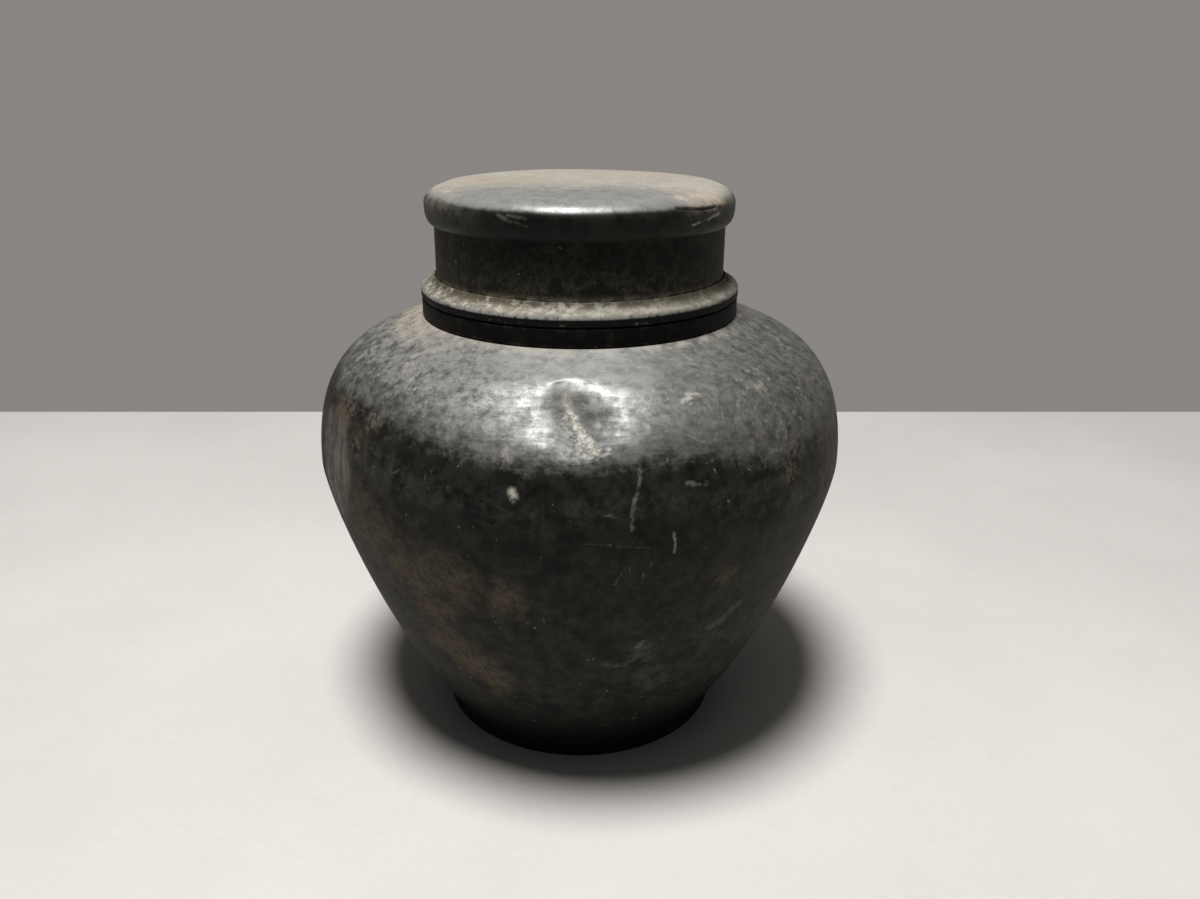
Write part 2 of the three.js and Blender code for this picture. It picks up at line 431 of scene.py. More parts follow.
def creaseFloor(count):  # points along the bottom of the crease
    axes, field = creaseAxes(creaseDent), fieldAxes(creaseDent)
    floor = []
    for step in range(count):
        place = between(creaseDent["top"], creaseDent["bottom"], step / (count - 1))
        point = placeOn(bodyLine, *place)[0]
        pressed = creaseDepth(point, creaseDent, axes) + fieldDepth(point, creaseDent, field)
        floor.append(point - axes[1] * (pressed + creaseDent["settles"]))
    return floor


def facetShift(point):  # how far the flattened side lies inside the round
    turn = math.degrees(math.atan2(point.x, -point.y)) - sideFacet["azimuth"]
    climb = point.z - sideFacet["middle"]
    climb /= sideFacet["up"] if climb > 0 else sideFacet["down"]
    if abs(climb) >= 1 or abs(turn) > 2 * sideFacet["halfTurn"]:
        return 0.0
    radius = math.hypot(point.x, point.y)
    edge = math.radians(sideFacet["halfTurn"] * math.sqrt(1 - climb ** 2))
    proud = radius - radius * math.cos(edge) / math.cos(math.radians(turn))
    return (proud + math.hypot(proud, sideFacet["soft"])) / 2 if proud > -4 * sideFacet["soft"] else 0.0


def batter(bm, shell):
    axes, field = creaseAxes(creaseDent), fieldAxes(creaseDent)
    bowls = allBowls()
    close = [e for e in bm.edges if (middle(e) - axes[0]).length < creaseDent["fineWithin"]]
    if close:
        bmesh.ops.subdivide_edges(bm, edges=close, cuts=1, use_grid_fill=True)
    for vert in bm.verts:
        point = vert.co / mm
        side = outward(point)
        pressed = creaseDepth(point, creaseDent, axes) + fieldDepth(point, creaseDent, field)
        move = pushedIn(point, bowls) - side * facetShift(point) - axes[1] * pressed
        for cycles, height in waver:
            move += side * height * (noise.noise(point * cycles) - 1) / 2
        toFoot, toCollar = point.z - footTop, shoulderTop - point.z  # round and true at both ends
        fade = min(1.0, toFoot / shell["trueAtFoot"], toCollar / shell["trueAtCollar"])
        vert.co += move * max(0.0, fade) * mm


def bareInside(bm):  # faces that look inwards or down get the second finish
    bm.normal_update()
    for face in bm.faces:
        inwards = face.normal.dot(outward(face.calc_center_median())) < innerFaces["inwards"]
        face.material_index = 1 if inwards or face.normal.z < innerFaces["down"] else 0
    return bm


def sheetMetal(bm, sheet):  # the skin gets its thickness inwards
    bmesh.ops.recalc_face_normals(bm, faces=bm.faces)
    bmesh.ops.solidify(bm, geom=bm.faces[:], thickness=sheet * mm)
    return bareInside(bm)


def lowerShell(shell):
    lapOut = bellyRadius - shell["sheet"] - 2 * shell["play"]
    lapIn = lapOut - shell["sheet"]
    top, step = shell["lapTop"], shell["lapStep"]
    lap = turned([(lapOut, seamHeight - step), (lapOut, top), (lapIn, top), (lapIn, seamHeight - 2 * step)],
                 shell["turns"] // 2)
    for face in lap.faces:
        face.material_index = 1
    mesh = bpy.data.meshes.new("lap")
    lap.to_mesh(mesh)
    lap.free()
    bm = turned(lowerLine(shell), shell["turns"], closed=False)
    batter(bm, shell)
    sheetMetal(bm, shell["sheet"])
    bm.from_mesh(mesh)
    bpy.data.meshes.remove(mesh)
    return bm


def upperShell(shell):
    mouth = neckRadius + shell["play"]
    rows = shell["ledgeRows"]
    ledge = [(collarRadius + (mouth - collarRadius) * row / rows, shoulderTop) for row in range(1, rows + 1)]
    bm = turned(upperLine(shell) + ledge, shell["turns"], closed=False)
    batter(bm, shell)
    return sheetMetal(bm, shell["sheet"])


# the cap's outline, taken from the frame
lipRadius, lipBottom, lipTop = reach("cap_lip")
wallRadius = reach("cap_wall")[0]
beadRadius, beadBottom, capHeight = reach("cap_top")
capTurns, capPlay = 360, 0.3
capTopForm = {"sheet": 1.6, "flatRadius": 32.4, "flatRows": 7, "slopeReach": 4.0, "corner": (39.8, 150.2),
              "cornerIn": (138.0, 2.0), "cornerOut": (-42.0, 1.1), "beadMiddle": 147.4, "beadRise": 1.5,
              "beadFall": 2.4, "rimRadius": 39.8, "rimLift": 0.85, "rimTuck": (0.9, 0.7), "rows": 14,
              "hollowRise": 2.2, "hollowReach": 2.8, "hollowRows": 12, "sag": 0.4, "sagCycles": 0.04,
              "sagLean": 60.0, "waver": (0.05, 0.25)}


def capTopLine(form):
    flat, wide = (form["flatRadius"], capHeight), (beadRadius, form["beadMiddle"])
    rim = (form["rimRadius"], beadBottom + form["rimLift"])
    corner, rows = form["corner"], form["rows"]
    top = [(flat[0] * row / form["flatRows"], capHeight) for row in range(form["flatRows"])]
    slope = curve(flat, shifted(flat, (form["slopeReach"], 0)), offAt(corner, *form["cornerIn"]),
                  corner, rows)
    side = curve(corner, offAt(corner, *form["cornerOut"]), shifted(wide, (0, form["beadRise"])), wide, rows)
    under = curve(wide, shifted(wide, (0, -form["beadFall"])), shifted(rim, form["rimTuck"]), rim, rows)
    return top + slope[:-1] + side[:-1] + under


capLine = capTopLine(capTopForm)
gash = {"from": (35.0, 150.0), "to": (54.5, 149.0), "depth": 0.6, "halfWidth": 0.65, "steps": 8,
        "fineWithin": 5.0}
capKnocks = [((46, 150), 7, 0.7), ((-100, 149), 6, 0.4), ((160, 148), 5, 0.35), ((-19.5, 147.8), 3, 0.2)]


def gashPath():
    steps = gash["steps"]
    return [placeOn(capLine, *between(gash["from"], gash["to"], i / steps))[0] for i in range(steps + 1)]


def gapToPath(point, path):
    gaps = []
    for start, end in zip(path, path[1:]):
        share = intersect_point_line(point, start, end)[1]
        gaps.append((point - start.lerp(end, min(1.0, max(0.0, share)))).length)
    return min(gaps)


def capTop(form):
    inner = wallRadius + capPlay
    under = capHeight - form["sheet"]
    bend, flat = (inner, form["beadMiddle"]), (form["flatRadius"], under)
    hollow = curve(bend, shifted(bend, (0, form["hollowRise"])), shifted(flat, (form["hollowReach"], 0)),
                   flat, form["hollowRows"])
    rim = (inner, beadBottom + form["rimLift"])
    bm = turned(capLine + [rim] + hollow + [(0, under)], capTurns, closed=False)
    path = gashPath()
    close = [e for e in bm.edges if gapToPath(middle(e), path[::4]) < gash["fineWithin"]]
    bmesh.ops.subdivide_edges(bm, edges=close, cuts=1, use_grid_fill=True)
    knocks = bowlsOn(capLine, capKnocks)
    for vert in bm.verts:
        point = vert.co / mm
        vert.co += pushedIn(point, knocks) * mm
        gap = gapToPath(point, path) / gash["halfWidth"]
        if gap < 1:
            vert.co -= vert.normal * gash["depth"] * (1 - gap) * mm
        if point.z > capHeight - form["sag"]:  # the top is not quite flat
            dip = noise.noise(point * form["sagCycles"]) + point.x / form["sagLean"]
            vert.co.z -= form["sag"] * mm * max(0.0, dip)
    return bareInside(unsettle(bm, *form["waver"]))


capLipForm = {"chamfer": 0.3, "face": 1.9, "bulge": 0.8, "knee": (41.75, 126.75), "kneeOut": (0.6, -0.1),
              "kneeIn": (-1.1, 0.2), "crest": 0.4, "crestTuck": (0.1, -1.2), "rows": 8, "waver": (0.06, 0.3)}


def capLip(form):
    inner = wallRadius + capPlay
    face, knee, crest = (lipRadius, lipBottom + form["face"]), form["knee"], (inner + form["crest"], lipTop)
    cut = form["chamfer"]
    foot = [(inner, lipBottom), (lipRadius - cut, lipBottom), (lipRadius, lipBottom + cut)]
    below = curve(face, shifted(face, (0, form["bulge"])), shifted(knee, form["kneeOut"]), knee, form["rows"])
    above = curve(knee, shifted(knee, form["kneeIn"]), shifted(crest, form["crestTuck"]), crest, form["rows"])
    return unsettle(turned(foot + below + above[1:] + [(inner, lipTop)], capTurns), *form["waver"])


# plain rings, then the other turned pieces
smallTurns = {"ring": 240, "knob": 96, "solder": 192}
ringForms = {
    "cap_wall": {"wall": 1.4, "edge": 0.3, "rows": 14, "turns": capTurns, "waver": (0.05, 0.3)},
    "foot_ring": {"wall": 2.0, "edge": 0.35, "rows": 3},
    "neck_tube": {"wall": 1.6, "edge": 0.5, "rows": 6},
    "stopper_skirt": {"wall": 1.4, "edge": 0.4, "rows": 3}}


def ringPiece(node):
    form = ringForms[node]
    radius, low, high = reach(node)
    rows, inside = form["rows"], radius - form["wall"]
    outside = [(radius, low + (high - low) * row / rows) for row in range(rows + 1)]
    turns = form.get("turns", smallTurns["ring"])
    return softenRims(turned(outside + [(inside, high), (inside, low)], turns), form["edge"])


def capWall():
    return bareInside(unsettle(ringPiece("cap_wall"), *ringForms["cap_wall"]["waver"]))


baseForm = {"crown": [(0.0, 0.35), (0.4, 0.3), (0.85, 0.12)], "flatRim": 1.5}  # share of the radius, lift


def basePlate(form):
    radius, low, high = reach("base_plate")
    crown = [(radius * share, low + lift) for share, lift in form["crown"]]
    rim = [(radius - form["flatRim"], low), (radius, low), (radius, high), (0, high)]
    return turned(crown + rim, smallTurns["ring"], closed=False)


collarForm = {"wall": 1.6, "edge": 0.35}


def neckCollar(form):
    hole = neckRadius + jarShell["play"]
    inside, under = collarRadius - form["wall"], collarTop - form["wall"]
    outline = [(collarRadius, collarBottom), (collarRadius, collarTop), (hole, collarTop), (hole, under),
               (inside, under), (inside, collarBottom)]
    return softenRims(turned(outline, smallTurns["ring"]), form["edge"])


plateForm = {"hole": 1.8, "groove": 0.25, "grooveIn": (8.6, 9.0), "grooveOut": (3.4, 3.0),
             "edge": 0.3, "angle": 60}


def stopperPlate(form):
    radius, low, high = reach("stopper_plate")
    hole, floor = form["hole"], high - form["groove"]
    (innerTop, innerFloor), (outerFloor, outerTop) = form["grooveIn"], form["grooveOut"]
    outline = [(hole, low), (radius, low), (radius, high), (radius - outerTop, high),
               (radius - outerFloor, floor), (innerFloor, floor), (innerTop, high), (hole, high)]
    return softenRims(turned(outline, smallTurns["ring"]), form["edge"], angle=form["angle"])


knobForm = {"play": 0.3, "peg": 1.5, "foot": 4.2, "footHeight": 0.5, "footSweep": (0.2, 0.9), "stem": 2.8,
            "stemSweep": (0, 1.4), "stemHeight": 2.6, "underHead": (0.4, 0.9), "headSweep": 0.4,
            "headHeight": 2.2, "crownFlat": 0.6, "crownDrop": 0.7, "rows": (8, 10, 14)}


def stopperKnob(form):
    radius, low, high = reach("stopper_knob")
    seat = reach("stopper_plate")[2] + form["play"]
    peg, stem, neck = form["peg"], form["stem"], seat + form["stemHeight"]
    foot, ground = (form["foot"], seat + form["footHeight"]), (stem, seat)
    waist, head, rows = (stem, neck), (radius, neck + form["headHeight"]), form["rows"]
    sweep = curve(foot, shifted(ground, form["footSweep"]), shifted(ground, form["stemSweep"]), waist,
                  rows[0])
    under = curve(waist, shifted(waist, form["underHead"]), (radius, neck + form["headSweep"]), head, rows[1])
    crown = curve(head, (radius, high - form["crownDrop"]), (radius * form["crownFlat"], high), (0, high),
                  rows[2])
    outline = [(0, low), (peg, low), (peg, seat), (form["foot"], seat), foot]
    return turned(outline + sweep[1:] + under[1:] + crown[1:], smallTurns["knob"], closed=False)


solderRuns = {  # the body that carries each fillet, and which way it spreads: in or out, down or up
    "base_solder": ("jar", -1, -1), "belly_solder": ("jar", -1, 1), "neck_solder": ("jar", 1, -1),
    "stopper_solder": ("stopper", -1, -1), "cap_solder": ("cap", -1, 1)}
solderForm = {"sink": 0.3, "rows": 8, "lump": 0.25, "beadCycles": 0.16, "fineCycles": 0.5, "fineShare": 0.5,
              "thin": 0.9}


def solderRun(node, form):  # with beads and thin runs
    radius, low, high = reach(node)
    leg = high - low
    out, up = solderRuns[node][1:]
    corner = (radius if out < 0 else radius - leg, low if up > 0 else high)
    level, rising = shifted(corner, (out * leg, 0)), shifted(corner, (0, up * leg))
    sink = shifted(corner, (out * leg * form["sink"], up * leg * form["sink"]))
    bm = turned([corner] + curve(level, sink, sink, rising, form["rows"]), smallTurns["solder"])
    for vert in bm.verts:
        point = vert.co / mm
        away = Vector((math.hypot(point.x, point.y), point.z)) - Vector(corner)
        fine = noise.noise(point * form["fineCycles"]) * form["fineShare"]
        lump = form["lump"] * (noise.noise(point * form["beadCycles"]) + fine - form["thin"])
        vert.co += (outward(point) * away.x + Vector((0, 0, away.y))) * lump * mm
    return bm


# finishes: old tin under a near-black patina, with grey bloom, dust, stains and the marks of use, and some
# painted shade, reflections and highlights
tin = {
    "black": tone(0.0021, 0.0022, 0.0018), "soot": tone(0.0036, 0.0036, 0.0031),
    "charcoal": tone(0.018, 0.018, 0.0134), "olive": tone(0.0262, 0.026, 0.0196),
    "rust": tone(0.098, 0.068, 0.042), "ochre": tone(0.092, 0.078, 0.049), "umber": tone(0.115, 0.082, 0.052),
    "grime": tone(0.105, 0.092, 0.06), "rimGrime": tone(0.155, 0.148, 0.115),
    "haze": tone(0.122, 0.109, 0.09), "lichen": tone(0.196, 0.2, 0.17),
    "moss": tone(0.2, 0.18, 0.112), "bloom": tone(0.238, 0.238, 0.224),
    "pewter": tone(0.285, 0.28, 0.265), "worn": tone(0.45, 0.45, 0.435), "grit": tone(0.29, 0.27, 0.2),
    "dust": tone(0.4, 0.37, 0.315), "tan": tone(0.37, 0.315, 0.25), "pinkDust": tone(0.47, 0.385, 0.295),
    "chalk": tone(0.43, 0.405, 0.355), "crumb": tone(0.52, 0.495, 0.42), "cream": tone(0.54, 0.51, 0.435),
    "lime": tone(0.68, 0.665, 0.6), "tarnish": tone(0.12, 0.113, 0.1), "bare": tone(0.34, 0.335, 0.32),
    "solderGrey": tone(0.36, 0.36, 0.35)}


def gapTo(place, start, end):  # distance from the straight between two points
    line = end - start
    away = place.vector("SUBTRACT", start)
    share = away.vector("DOT_PRODUCT", line / line.length_squared, "Value").most(0.0).least(1.0)
    along = place.node("ShaderNodeVectorMath", {"operation": "SCALE"}, {0: line, "Scale": share})
    return away.vector("DISTANCE", along, "Value")


def pathMask(place, points, width):
    gap = reduce(Field.least, (gapTo(place, start * mm, end * mm) for start, end in zip(points, points[1:])))
    return gap.rise(0.5 * width * mm, 0.05 * width * mm)


def marksMask(place, marks, line, patchy):
    masks = [pathMask(place, [placeOn(line, *p)[0] for p in path], width) * strength
             for path, width, strength in marks]
    return reduce(Field.most, masks) * patchy


def patchMask(place, patches, line):
    masks = []
    for azimuth, height, spread in patches:
        gap = place.vector("DISTANCE", placeOn(line, azimuth, height)[0] * mm, "Value")
        masks.append(gap.rise(spread * mm, 0.2 * spread * mm))
    return reduce(Field.most, masks)


def facetMask(place, z):  # the flattened side
    turn = math.radians(sideFacet["azimuth"])
    ahead, level = Vector((math.sin(turn), -math.cos(turn), 0)), Vector((math.cos(turn), math.sin(turn), 0))
    wide = bellyRadius * math.sin(math.radians(sideFacet["halfTurn"]))
    aside = place.vector("DOT_PRODUCT", level / (wide * mm), "Value")
    climb = z - sideFacet["middle"] * mm
    climb = (climb * (1 / (sideFacet["up"] * mm))).most(climb * (-1 / (sideFacet["down"] * mm)))
    facing = place.vector("DOT_PRODUCT", ahead, "Value").rise(0.02, 0.03)
    return (1.08 - aside * aside * 1.35 - climb * climb).rise(0.0, 0.45) * facing


def hairlines(place, stretch, turn, low):  # thin scratches, drawn out along one direction
    lean = place.node("ShaderNodeMapping", {}, {"Vector": place, "Rotation": turn, "Scale": stretch})
    return lean.noise(1.0, 2.0, 0.5).rise(low, low + 0.1)


def tinGround(place):  # the patchiness that all the tin shares, coarse to fine
    return (place.noise(48.0, 4.0, 0.55), place.noise(300.0, 6.0, 0.72), place.noise(820.0, 3.0, 0.6),
            place.noise(2600.0, 2.0, 0.5))


def relief(place, swell, detail, depth, grain):  # slow swell, finer detail and grain
    return place.noise(190.0, 3.0, 0.5) * swell + detail * depth + grain * 0.005


bodyMarks = [  # pale scratches and spots: degrees round the jar and height, then width and strength
    ([(-12.1, 93.6), (-11.7, 92.4)], 3.1, 0.9),
    ([(11, 98.6), (10.7, 95.6), (10.2, 93.2)], 1.5, 0.27),
    ([(9.9, 92.4), (9.2, 88.6), (9.3, 85.2)], 1.5, 0.3),
    ([(17, 83.6), (17.2, 81), (17.2, 78.2)], 0.9, 0.55),
    ([(0.6, 82.3), (6.5, 81.4), (12.5, 80.4)], 0.6, 0.12),
    ([(8.2, 75.4), (6.4, 70.4)], 0.7, 0.16),
    ([(22.4, 110.2), (24.4, 110.8)], 2.3, 1),
    ([(24.2, 111.3), (27, 110.9)], 1.8, 0.9),
    ([(23.4, 109.6), (24.6, 109.8)], 0.9, 0.5),
    ([(25.3, 98.8), (25.4, 97), (26, 95)], 0.9, 0.4),
    ([(31.5, 97.9), (31.2, 96), (31.8, 94)], 0.9, 0.4),
    ([(21.1, 104.4), (23, 103), (25.5, 102.2)], 1, 0.35),
    ([(45.7, 102.5), (44.7, 98.7)], 0.9, 0.35),
    ([(19.8, 94.5), (21.4, 94), (23.6, 93.8)], 1.8, 0.26),
    ([(10.9, 109.9), (11.2, 107.6)], 1.4, 0.35),
    ([(30.4, 97), (33.8, 94.4)], 0.8, 0.35),
    ([(36, 97.6), (37.6, 94)], 0.8, 0.3),
    ([(30.5, 50.5), (33.5, 51.5), (35, 54.6), (37.5, 55.4)], 4.2, 0.11),
    ([(12.8, 49), (13.7, 50.9)], 2.2, 0.22),
    ([(5.5, 43.6), (9.5, 42.4), (12.6, 44.6)], 2.4, 0.07),
    ([(-21, 76.6), (-20.8, 76.2)], 0.9, 0.6),
    ([(-9.4, 56.4), (-9.2, 56)], 1, 0.6),
    ([(140, 104), (146, 92)], 0.9, 0.35),
    ([(-150, 88), (-146, 84), (-147, 76)], 0.8, 0.35),
]
bodyPatches = {  # degrees round the jar and height, and how far each reaches
    "brown": [(-58, 85, 14), (-46, 75, 16), (-37, 66, 16), (-26, 67, 12), (-15, 64, 9), (-34, 55, 11),
              (-33, 44, 12), (-27, 38, 11), (-22, 33, 8), (-58, 100, 9), (64, 86, 13), (72, 76, 11),
              (30, 68, 5), (112, 67, 9), (119, 58, 12), (126, 47, 10), (134, 41, 7), (-128, 53, 10),
              (-118, 44, 12), (-109, 35, 8), (166, 88, 8), (175, 79, 12), (187, 71, 10)],
    "pale": [(34, 48, 8), (13.5, 46, 7), (18, 36, 8), (46, 84, 8), (38, 90, 6), (-100, 70, 9),
             (95, 52, 10)],
    "dusty": [(-9, 117.2, 4), (27, 116.6, 4.5), (-46, 113, 4), (-14, 101, 2.5), (-27, 104, 3),
              (-22, 108.4, 2.6), (44, 110, 3), (130, 110, 6)],
    "rusty": [(-58, 101, 8), (-46, 102, 5), (-50, 96, 5), (30, 103, 3.5), (47, 97, 6), (45, 90.5, 5),
              (36, 101, 3.5), (64, 106, 6), (150, 104, 9)],
    "creaseShade": [(0.8, 112.2, 4.5), (2.8, 110.2, 5)],
    "polish": [(-1, 106.4, 26)]}
bodyHeights = {  # metres: where a layer starts and where it is full, or a band's middle and half width
    "soot": (0.03, 0.01), "bellyShadeBand": (0.088, 0.013), "paintedReflectionBand": (0.09, 0.006),
    "bloom": (0.0985, 0.1101), "wearAndSheen": (0.0968, 0.103), "upperFrontSheen": (0.1085, 0.114),
    "settled": (0.1135, 0.1185), "fringe": (0.1168, 0.1184), "creaseLight": (0.1125, 0.1065),
    "dullBelow": (0.094, 0.07)}


def bodyFinish(heights, patches):
    material, place = startFinish("bodyTin")
    x, y, z = place.axes()
    cloud, mottle, speck, grain = tinGround(place)
    off, facing = x.calc("ABSOLUTE"), y.rise(0.0, -0.02)
    loose, trembling = place.ragged(120.0, 0.012), place.ragged(800.0, 0.0012)
    fine = mottle * 0.6 + speck * 0.4
    blotch = (mottle * 0.75 + grain * 0.25).rise(0.4, 0.62)
    streak = place.drawnOut((120.0, 120.0, 760.0), 4.0, 0.6, 0.3)
    # patina, brown stains, darker towards the bottom, and painted shade on the front of the belly
    patina = (place.noise(150.0, 8.0, 0.74) * 0.65 + mottle * 0.35).rise(0.34, 0.68)
    colour = patina.over(tin["black"], tin["olive"])
    stained = 0.18 + 0.7 * (mottle * 0.5 + speck * 0.3 + grain * 0.2).rise(0.4, 0.6)
    brown = patchMask(loose, patches["brown"], bodyLine) * stained
    colour = brown.over(colour, (cloud * 0.6 + speck * 0.4).rise(0.4, 0.6).over(tin["rust"], tin["ochre"]))
    # darker towards the bottom
    colour = (z.rise(*heights["soot"]) * 0.92).over(colour, tin["soot"])
    # painted shade: a black band across the front of the belly, below the shoulder
    paintedBellyShade = z.near(*heights["bellyShadeBand"]) * off.rise(0.05, 0.02) * facing
    colour = (paintedBellyShade * 0.45).over(colour, tin["black"])
    # grey bloom of the shoulder, which reaches lower on the right
    pale = patchMask(loose, patches["pale"], bodyLine) * patina * 0.14
    aside = x.rise(-0.02, -0.055) * 0.004 - x.rise(0.024, 0.055) * 0.006
    level = z - aside + cloud.sway(0.008) + fine.sway(0.012) + streak.sway(0.004)
    shoulder = level.rise(*heights["bloom"])
    front = off.rise(0.056, 0.012) * facing
    leftward = x.rise(0.045, -0.02) * 0.54 + 0.46
    solid = front * x.rise(0.036, 0.012) * streak.rise(0.34, 0.62) * 0.8
    solid = solid.most(cloud.rise(0.46, 0.64) * x.rise(0.03, -0.01) * 0.65)
    bloom = shoulder * blotch.most(solid).atLeast(0.22) * leftward
    # a faint pale band lower down on the shoulder is a painted reflection
    bloom = bloom.most(level.near(*heights["paintedReflectionBand"]) * blotch * 0.08)
    pits = place.noise(430.0, 5.0, 0.7).rise(0.48, 0.62) * (0.66 + x.rise(0.02, -0.03) * 0.22)
    grey = (x.rise(0.0, 0.03) * 0.6).over(tin["bloom"], tin["lichen"])
    colour = (bloom * (1 - pits)).most(pale).over(colour, grey)
    flecks = shoulder * place.noise(540.0, 4.0, 0.65).rise(0.55, 0.7) * (0.34 + x.rise(0.02, -0.03) * 0.11)
    colour = flecks.over(colour, tin["worn"])
    mossy = shoulder * x.rise(0.012, 0.036) * place.noise(270.0, 5.0, 0.7).rise(0.56, 0.68) * 0.55
    colour = mossy.over(colour, tin["moss"])
    spotted = place.ragged(330.0, 0.008)
    rusty = patchMask(spotted, patches["rusty"], bodyLine) * (speck * 0.6 + mottle * 0.4).rise(0.46, 0.58)
    colour = (rusty * 0.85).over(colour, tin["umber"])
    # the flattened side, lightened by a painted reflection, and worn tin on the shoulder, laid heaviest on
    # the front as a painted sheen
    upright = place.drawnOut((260.0, 260.0, 40.0), 5.0, 0.65)
    rim = place.ragged(160.0, 0.006)
    # painted reflection: the flattened side is lightened with the haze tone
    side = facetMask(rim, rim.axes()[2]) * (upright * 0.6 + fine * 0.4).rise(0.4, 0.62).atLeast(0.12)
    colour = side.over(colour, tin["haze"])
    # worn tin, laid on most heavily at the front: partly wear, partly a painted sheen where the highlight
    # falls; the upper front gets an extra painted sheen
    brushed = (streak * 0.5 + mottle * 0.5).rise(0.4, 0.6).atLeast(0.6)
    wearAndSheen = level.rise(*heights["wearAndSheen"]) * front.atLeast(0.35) * brushed
    upperFrontSheen = z.rise(*heights["upperFrontSheen"]) * off.rise(0.022, 0.013)
    colour = (wearAndSheen * (0.32 + upperFrontSheen * 0.32)).over(colour, tin["worn"])
    # dust that has settled under the collar
    sides = x.rise(-0.018, -0.055) * 0.85 + y.rise(-0.03, 0.04) * 0.4 + 0.12
    settled = (z + fine.sway(0.008)).rise(*heights["settled"]) * sides * fine.rise(0.32, 0.52)
    spots = patchMask(spotted, patches["dusty"], bodyLine) * blotch * 0.55
    broken = (cloud * 0.5 + mottle * 0.5).rise(0.44, 0.58).atLeast(0.12)
    fringe = (z + fine.sway(0.0036)).rise(*heights["fringe"]) * broken
    dust = settled.most(spots).most(fringe * 0.7)
    colour = dust.over(colour, ((fringe * 0.5).most(x.rise(0.0, -0.03)) * 0.7).over(tin["dust"], tin["tan"]))
    # the crease: painted shade on its right flank, and pale dirt along the bottom and to the left of it
    # painted shade: the crease's right flank is laid over with black, and its metal is cut back further down
    flank = patchMask(place.ragged(300.0, 0.003), patches["creaseShade"], bodyLine)
    colour = (flank * 0.6).over(colour, tin["black"])
    crumbs = place.noise(720.0, 5.0, 0.72).rise(0.42, 0.57)
    inCrease = pathMask(place.ragged(600.0, 0.0022), creaseFloor(7)[1:], 3.4) * crumbs.atLeast(0.4)
    left = [point - Vector((1.8, 0, 0)) for point in creaseFloor(6)[2:]]
    inCrease = inCrease.most(pathMask(place.ragged(420.0, 0.003), left, 6.0) * crumbs * 0.55)
    inCrease = inCrease.most(pathMask(trembling, creaseFloor(7)[2:], 1.3) * 0.9)
    lighter = (z + mottle.sway(0.01)).rise(*heights["creaseLight"]) * crumbs.atLeast(0.4)
    colour = inCrease.over(colour, lighter.over(tin["grit"], crumbs.over(tin["cream"], tin["lime"])))
    dust = dust.most(inCrease)
    # scratches, hairlines and pinpricks
    patchy = place.noise(60.0, 3.0, 0.6).rise(0.52, 0.64)
    hair = hairlines(place, (900.0, 900.0, 45.0), (0.12, 0.2, 0.0), 0.66)
    hair = hair.most(hairlines(place, (70.0, 1100.0, 800.0), (0.0, 0.4, 0.5), 0.67)) * patchy * 0.16
    pins = place.noise(640.0, 2.0, 0.5).rise(0.73, 0.78) * 0.3
    chalk = marksMask(trembling, bodyMarks, bodyLine, fine.rise(0.36, 0.54)).most(hair).most(pins)
    colour = chalk.over(colour, x.rise(-0.008, -0.012).over(tin["chalk"], tin["cream"]))
    polish = patchMask(place.ragged(300.0, 0.006), patches["polish"], bodyLine)
    rough = 0.5 + mottle * 0.1 - side * 0.2 - wearAndSheen * 0.12 + dust * 0.4 + brown * 0.1 + chalk * 0.15
    rough = rough + z.rise(*heights["dullBelow"]) * 0.13 + polish * 0.04
    metal = wearAndSheen * (1 - dust) * (1 - flank * 0.75) * (0.22 + blotch * 0.2 + polish * 0.2)
    closeFinish(place, 0.14, colour, rough, metal, relief(place, 0.04, speck, 0.012, grain))
    return material


bandFinishes = {  # dark bands: where dust lies, and the worn edge
    "collarTin": {"dustAt": (118.3, 119.1), "dustiness": 0.25, "wornAt": 123.0, "wear": 0.06},
    "footTin": {"dustAt": (0.0, 1.0), "dustiness": 0.04, "wornAt": 0.4, "wear": 0.06},
}


def bandFinish(name):
    form = bandFinishes[name]
    material, place = startFinish(name)
    z = place.axes()[2]
    _, mottle, speck, grain = tinGround(place)
    fine = mottle * 0.5 + speck * 0.5
    colour = mottle.rise(0.48, 0.76).over(tin["soot"], tin["charcoal"])
    low, high = form["dustAt"]
    dust = z.near((low + high) / 2 * mm, (high - low) * mm) * fine.rise(0.46, 0.64) * form["dustiness"]
    colour = dust.over(colour, tin["dust"])
    worn = z.near(form["wornAt"] * mm, 0.35 * mm) * fine.rise(0.5, 0.62) * form["wear"]
    colour = worn.over(colour, tin["chalk"])
    rough = 0.46 + mottle * 0.15 + dust * 0.4
    closeFinish(place, 0.08, colour, rough, 0.0, relief(place, 0.03, speck, 0.012, grain))
    return material


capWallHeights = {"haze": (0.139, 0.129), "dust": (0.1304, 0.1284)}


